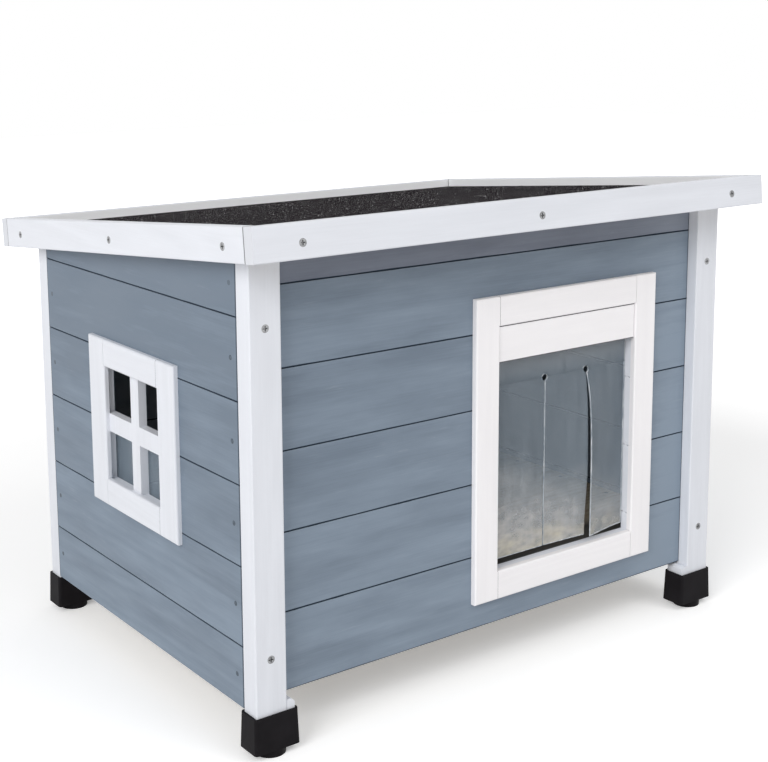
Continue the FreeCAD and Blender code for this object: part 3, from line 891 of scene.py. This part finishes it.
def make_strip(side, slits, curl, film, edge):
    """One strip of the clear sheet, with round-cut corners at the slits' end holes."""
    name = "flap_strip_" + side
    low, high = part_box(name)
    header_low, header_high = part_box("flap_header")
    middle = (header_low.y + header_high.y) / 2
    half = (header_high.y - header_low.y) / 2
    bend = header_low.z - bend_drop
    rows = [(header_low.z - crest_drop, crest_half), (header_low.z - shoulder_drop, half)]
    rows += [(z, half) for z in strip_rows(bend, low.z)]
    points = strip_points(low, high, middle, bend, rows, slits, curl)
    faces = strip_faces(len(rows), slits[1] == 0)
    strip = add_piece("sheet_strip_" + side, points, [face for face, lit in faces])
    strip.data.materials.append(film)
    strip.data.materials.append(edge)
    for polygon, (face, lit) in zip(strip.data.polygons, faces):
        polygon.material_index = 1 if lit else 0
    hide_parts(name)
    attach(strip, name)


def make_flap():
    """The three strips; a slit's sign says to which side of it the strip lies."""
    film = clear_film("clear_pvc_film", pvc_film, film_haze, True)
    # painted highlight for the strips' cut edges
    edge = cut_edge_highlight()
    make_strip("left", (0, -1), None, film, edge)
    make_strip("middle", (1, -1), middle_curl, film, edge)
    make_strip("right", (1, 0), right_curl, film, edge)


def make_floor():
    """Pale floor under the feet, which keeps the object's shadow."""
    half = floor_size / 2
    corners = [(-half, -half, 0), (half, -half, 0), (half, half, 0), (-half, half, 0)]
    floor = add_piece("floor", corners, [(0, 1, 2, 3)])
    surface = Surface("floor_paper")
    surface.set(Base_Color=(*floor_colour, 1.0), Roughness=0.9, Specular_IOR_Level=0.1)
    reach = surface.node("ShaderNodeVectorMath", surface.place, operation="LENGTH").outputs["Value"]
    glow = surface.ranged(reach, floor_near, floor_far, floor_lift, 1.0)
    path = surface.node("ShaderNodeLightPath")
    seen = surface.math("MAXIMUM", path.outputs["Is Camera Ray"], path.outputs["Is Glossy Ray"])
    seen = surface.math("MAXIMUM", seen, path.outputs["Is Transmission Ray"])
    surface.set(Emission_Color=(1.0, 1.0, 1.0, 1.0), Emission_Strength=surface.math("MULTIPLY", glow, seen))
    floor.data.materials.append(surface.material)


def make_world():
    """White backdrop for what looks straight at it, and an even light for the rest."""
    world = bpy.data.worlds.new("studio")
    bpy.context.scene.world = world
    world.use_nodes = True
    tree = world.node_tree
    path = tree.nodes.new("ShaderNodeLightPath")
    seen = path.outputs["Is Camera Ray"]
    for ray in ("Is Glossy Ray", "Is Transmission Ray"):
        either = tree.nodes.new("ShaderNodeMath")
        either.operation = "MAXIMUM"
        tree.links.new(seen, either.inputs[0])
        tree.links.new(path.outputs[ray], either.inputs[1])
        seen = either.outputs[0]
    strength = tree.nodes.new("ShaderNodeMapRange")
    tree.links.new(seen, strength.inputs["Value"])
    strength.inputs["To Min"].default_value = ambient_strength
    strength.inputs["To Max"].default_value = background_strength
    background = tree.nodes["Background"]
    background.inputs["Color"].default_value = (1.0, 1.0, 1.0, 1.0)
    tree.links.new(strength.outputs[0], background.inputs["Strength"])


def add_lamp(name, place, size, power):
    """Large soft lamp aimed at the house."""
    light = bpy.data.lights.new(name, "AREA")
    light.shape = "SQUARE"
    light.size = size
    light.energy = power
    lamp = bpy.data.objects.new(name, light)
    lamp.location = place
    lamp.rotation_euler = (Vector(lamp_target) - Vector(place)).to_track_quat("-Z", "Y").to_euler()
    bpy.context.scene.collection.objects.link(lamp)


def make_lamps():
    """Soft key from the left, and a weaker fill from the upper front."""
    add_lamp("key", key_place, key_size, key_power)
    add_lamp("fill", fill_place, fill_size, fill_power)


def make_camera():
    """Camera at the photograph's viewing angle."""
    camera = bpy.data.cameras.new("camera")
    camera.sensor_width = camera_sensor
    camera.lens = camera_lens
    camera.shift_y = camera_shift
    eye = bpy.data.objects.new("camera", camera)
    turn = Matrix.Rotation(math.radians(-camera_heading), 4, "Z")
    turn @= Matrix.Rotation(math.radians(90 + camera_pitch), 4, "X")
    turn @= Matrix.Rotation(math.radians(camera_roll), 4, "Z")
    eye.matrix_world = Matrix.Translation(camera_place) @ turn
    bpy.context.scene.collection.objects.link(eye)
    bpy.context.scene.camera = eye


dress_walls()
dress_white_work()
dress_bare_wood()
dress_the_rest()
make_chips()
ease_feet()
make_flap()
make_floor()
make_world()
make_lamps()
make_camera()
bpy.context.scene.view_settings.view_transform = "Standard"
